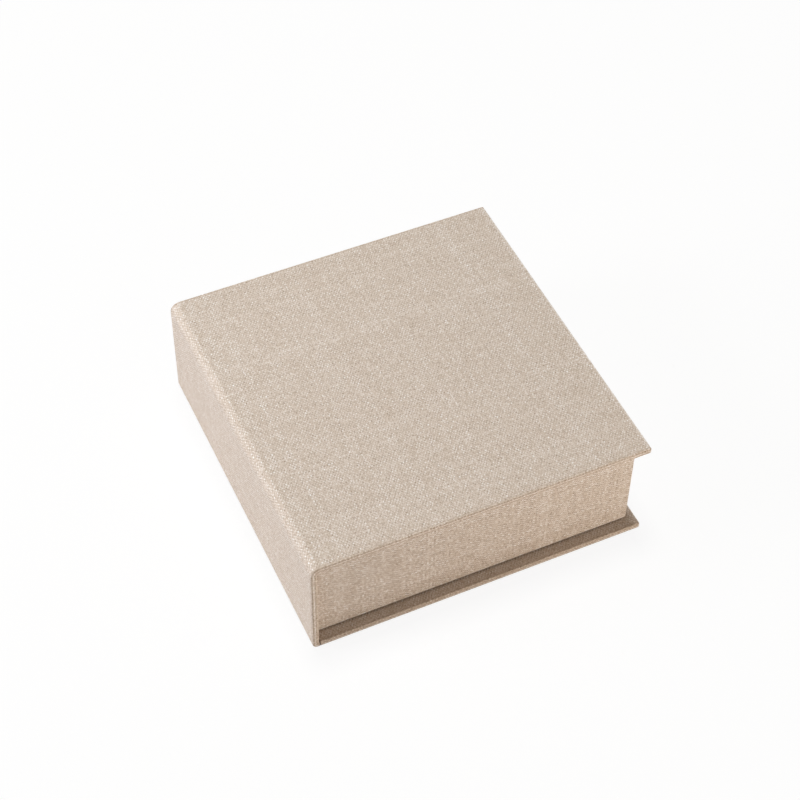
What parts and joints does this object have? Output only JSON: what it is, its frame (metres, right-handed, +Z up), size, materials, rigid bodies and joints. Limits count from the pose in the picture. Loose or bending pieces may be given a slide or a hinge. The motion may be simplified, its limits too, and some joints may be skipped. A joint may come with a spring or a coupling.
{
  "type": "clamshell keepsake box",
  "caption": "Low square cloth-covered box that opens like a book: a hinged case of boards carries a base tray and a lid tray that shuts down over it.",
  "frame": {"origin": "centre of the shut box's footprint, on the table", "axes": "+X from the spine to the fore-edge, +Y from front to back, +Z up"},
  "size_m": [0.1692, 0.1748, 0.0591],
  "materials": {
    "book_cloth": "plain-woven natural book cloth, dry and matte, with slubby lighter and darker threads",
    "greyboard": "grey bookbinder's board, matte, hidden under the cloth",
    "lining_paper": "uncoated lining paper, matte"
  },
  "bodies": {
    "base": {"base_board": "greyboard", "base_cover_cloth": "book_cloth", "base_tray_floor": "greyboard", "base_tray_front_wall": "greyboard", "base_tray_back_wall": "greyboard", "base_tray_spine_wall": "greyboard", "base_tray_fore_wall": "greyboard", "base_tray_cloth": "book_cloth", "base_tray_lining": "lining_paper"},
    "spine": {"spine_board": "greyboard", "spine_cover_cloth": "book_cloth", "spine_lining": "book_cloth", "base_hinge_cloth": "book_cloth", "lid_hinge_cloth": "book_cloth"},
    "lid": {"lid_board": "greyboard", "lid_cover_cloth": "book_cloth", "lid_tray_panel": "greyboard", "lid_tray_front_wall": "greyboard", "lid_tray_back_wall": "greyboard", "lid_tray_fore_wall": "greyboard", "lid_tray_cloth": "book_cloth", "lid_tray_lining": "lining_paper"}
  },
  "joints": [
    {"name": "lid_hinge", "type": "hinge", "parent": "spine", "child": "lid", "pos_m": [-0.08341, 0, 0.05791], "axis": [0, -1, 0], "range_deg": [0, 90], "deforming": ["lid_hinge_cloth"]},
    {"name": "spine_hinge", "type": "hinge", "parent": "base", "child": "spine", "pos_m": [-0.08391, 0, 0.00069], "axis": [0, -1, 0], "range_deg": [0, 90], "deforming": ["base_hinge_cloth"]}
  ],
  "couplings": [
    {"joint": "spine_hinge", "follows": "lid_hinge", "ratio": 1}
  ]
}
